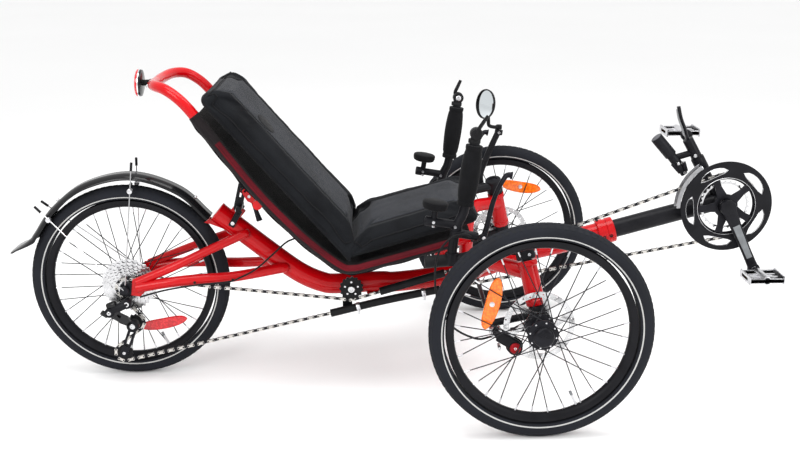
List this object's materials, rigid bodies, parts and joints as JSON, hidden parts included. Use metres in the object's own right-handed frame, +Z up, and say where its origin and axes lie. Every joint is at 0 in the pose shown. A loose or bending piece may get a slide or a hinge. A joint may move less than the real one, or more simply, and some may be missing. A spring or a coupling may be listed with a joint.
{
  "type": "recumbent tricycle",
  "caption": "Low recumbent tricycle: reclined mesh seat with cushions, upright side handles that steer the front wheels, pedals on a sliding boom, long chain to the driven rear wheel.",
  "frame": {"origin": "on the ground, at the centre of the bounding box seen from above", "axes": "+X forward, towards the pedals; +Y to the rider's left; +Z up"},
  "size_m": [1.8464, 0.881, 0.7664],
  "materials": {
    "red_paint": "gloss",
    "black_metal": "satin",
    "black_alloy": "satin black anodised",
    "black_plastic": "matte",
    "gloss_black": "gloss",
    "tyre_rubber": "matte",
    "foam": "matte foam",
    "steel": "brushed",
    "silver_alloy": "brushed",
    "bright_plate": "polished",
    "fabric": "padded woven",
    "mesh_fabric": "open mesh",
    "amber_lens": "prismatic",
    "red_lens": "prismatic",
    "mirror_case": "mirror glass in a black case"
  },
  "bodies": {
    "frame": {"main_tube": "red_paint", "cross_arm_right": "red_paint", "cross_arm_left": "red_paint", "rear_stays_right": "red_paint", "rear_stays_left": "red_paint", "rear_axle": "steel", "rear_fender": "gloss_black", "fender_stays": "steel", "chain_tube_upper": "black_plastic", "chain_tube_lower": "black_plastic", "rear_derailleur": "black_alloy", "chain_rear": "steel", "recline_strut": "black_metal"},
    "seat": {"seat_frame": "red_paint", "seat_sling": "mesh_fabric", "seat_back_cushion": "fabric", "seat_base_cushion": "fabric", "rear_reflector": "red_lens"},
    "quick_release": {"quick_release_lever": "black_metal"},
    "rear_wheel": {"tyre_rear": "tyre_rubber", "wheel_rear": "black_alloy", "spoke_reflector_rear": "red_lens"},
    "cassette": {"cassette": "steel"},
    "idler": {"idler_pulley": "black_plastic"},
    "pulley_upper": {"derailleur_pulley_upper": "black_plastic"},
    "pulley_lower": {"derailleur_pulley_lower": "black_plastic"},
    "boom": {"boom": "black_metal", "chain_front": "steel"},
    "front_cage": {"front_derailleur_cage": "bright_plate"},
    "crank": {"chainrings": "black_alloy", "crank_arm_left": "black_alloy", "crank_arm_right": "black_alloy"},
    "pedal_right": {"pedal_right": "silver_alloy"},
    "pedal_left": {"pedal_left": "silver_alloy"},
    "tie_rod": {"tie_rod": "black_metal"},
    "mirror": {"mirror": "mirror_case"},
    "steer_right": {"knuckle_right": "black_metal", "handlebar_right": "black_alloy", "grip_right": "foam", "brake_caliper_right": "black_alloy", "brake_cable_right": "black_plastic"},
    "wheel_right": {"tyre_front_right": "tyre_rubber", "wheel_front_right": "black_alloy", "brake_rotor_right": "steel", "spoke_reflector_right": "amber_lens"},
    "brake_lever_right": {"brake_lever_right": "black_alloy"},
    "shift_lever_right": {"shift_lever_right": "black_plastic"},
    "steer_left": {"knuckle_left": "black_metal", "handlebar_left": "black_alloy", "grip_left": "foam", "brake_caliper_left": "black_alloy", "brake_cable_left": "black_plastic"},
    "wheel_left": {"tyre_front_left": "tyre_rubber", "wheel_front_left": "black_alloy", "brake_rotor_left": "steel", "spoke_reflector_left": "amber_lens"},
    "brake_lever_left": {"brake_lever_left": "black_alloy"},
    "shift_lever_left": {"shift_lever_left": "black_plastic"}
  },
  "joints": [
    {"name": "steer_right", "type": "hinge", "parent": "frame", "child": "steer_right", "pos_m": [0.31276, -0.33, 0.28], "axis": [-0.2, 0.24, 0.95], "range_deg": [-17, 17]},
    {"name": "steer_left", "type": "hinge", "parent": "frame", "child": "steer_left", "pos_m": [0.31276, 0.33, 0.28], "axis": [-0.2, -0.24, 0.95], "range_deg": [-17, 17]},
    {"name": "tie_rod", "type": "hinge", "parent": "steer_left", "child": "tie_rod", "pos_m": [0.21976, 0.31, 0.2155], "axis": [0.1284, 0.2188, -0.9673], "range_deg": [-19, 19]},
    {"name": "wheel_right", "type": "hinge", "parent": "steer_right", "child": "wheel_right", "pos_m": [0.31476, -0.4, 0.2435], "axis": [0, 1, 0], "continuous": true},
    {"name": "wheel_left", "type": "hinge", "parent": "steer_left", "child": "wheel_left", "pos_m": [0.31476, 0.4, 0.2435], "axis": [0, 1, 0], "continuous": true},
    {"name": "wheel_rear", "type": "hinge", "parent": "frame", "child": "rear_wheel", "pos_m": [-0.64524, 0, 0.2435], "axis": [0, 1, 0], "continuous": true},
    {"name": "crank_spin", "type": "hinge", "parent": "boom", "child": "crank", "pos_m": [0.81176, 0, 0.4222], "axis": [0, 1, 0], "continuous": true},
    {"name": "pedal_right_spin", "type": "hinge", "parent": "crank", "child": "pedal_right", "pos_m": [0.88018, -0.084, 0.27206], "axis": [0, 1, 0], "continuous": true},
    {"name": "pedal_left_spin", "type": "hinge", "parent": "crank", "child": "pedal_left", "pos_m": [0.74334, 0.079, 0.57234], "axis": [0, 1, 0], "continuous": true},
    {"name": "cassette_spin", "type": "hinge", "parent": "frame", "child": "cassette", "pos_m": [-0.64524, 0, 0.2435], "axis": [0, 1, 0], "continuous": true},
    {"name": "idler_spin", "type": "hinge", "parent": "frame", "child": "idler", "pos_m": [-0.09924, -0.0555, 0.231], "axis": [0, 1, 0], "continuous": true},
    {"name": "pulley_upper_spin", "type": "hinge", "parent": "frame", "child": "pulley_upper", "pos_m": [-0.63024, -0.0607, 0.155], "axis": [0, 1, 0], "continuous": true},
    {"name": "pulley_lower_spin", "type": "hinge", "parent": "frame", "child": "pulley_lower", "pos_m": [-0.66224, -0.0607, 0.077], "axis": [0, 1, 0], "continuous": true},
    {"name": "boom_slide", "type": "slide", "parent": "frame", "child": "boom", "axis": [0.9678, 0, 0.2516], "range_m": [-0.02, 0.02]},
    {"name": "front_cage_shift", "type": "slide", "parent": "boom", "child": "front_cage", "axis": [0, 1, 0], "range_m": [-0.004, 0.004]},
    {"name": "seat_recline", "type": "hinge", "parent": "frame", "child": "seat", "pos_m": [0.12476, 0, 0.352], "axis": [0, 1, 0], "range_deg": [-1.5, 2.5]},
    {"name": "quick_release", "type": "hinge", "parent": "seat", "child": "quick_release", "pos_m": [-0.35324, -0.016, 0.472], "axis": [0, 1, 0], "range_deg": [-33, 12]},
    {"name": "mirror_turn", "type": "hinge", "parent": "steer_left", "child": "mirror", "pos_m": [0.30576, 0.36, 0.545], "axis": [0, 0, 1], "range_deg": [-20, 20]},
    {"name": "brake_squeeze_right", "type": "hinge", "parent": "steer_right", "child": "brake_lever_right", "pos_m": [0.20326, -0.25, 0.4125], "axis": [0, 1, 0], "range_deg": [-15, 0], "stiffness_Nm_per_rad": 0.6, "springref_deg": 9.74},
    {"name": "shift_right", "type": "hinge", "parent": "steer_right", "child": "shift_lever_right", "pos_m": [0.18476, -0.25, 0.6475], "axis": [0, 1, 0], "range_deg": [-15, 60]},
    {"name": "brake_squeeze_left", "type": "hinge", "parent": "steer_left", "child": "brake_lever_left", "pos_m": [0.20326, 0.25, 0.4125], "axis": [0, 1, 0], "range_deg": [-15, 0], "stiffness_Nm_per_rad": 0.6, "springref_deg": 9.74},
    {"name": "shift_left", "type": "hinge", "parent": "steer_left", "child": "shift_lever_left", "pos_m": [0.18476, 0.25, 0.6475], "axis": [0, 1, 0], "range_deg": [-15, 60]}
  ],
  "couplings": [
    {"joint": "steer_left", "follows": "steer_right", "ratio": 1},
    {"joint": "tie_rod", "follows": "steer_right", "ratio": 1.0971},
    {"joint": "cassette_spin", "follows": "crank_spin", "ratio": 3.25},
    {"joint": "idler_spin", "follows": "crank_spin", "ratio": -2.6},
    {"joint": "pulley_upper_spin", "follows": "crank_spin", "ratio": -3.5455},
    {"joint": "pulley_lower_spin", "follows": "crank_spin", "ratio": 3.5455}
  ]
}
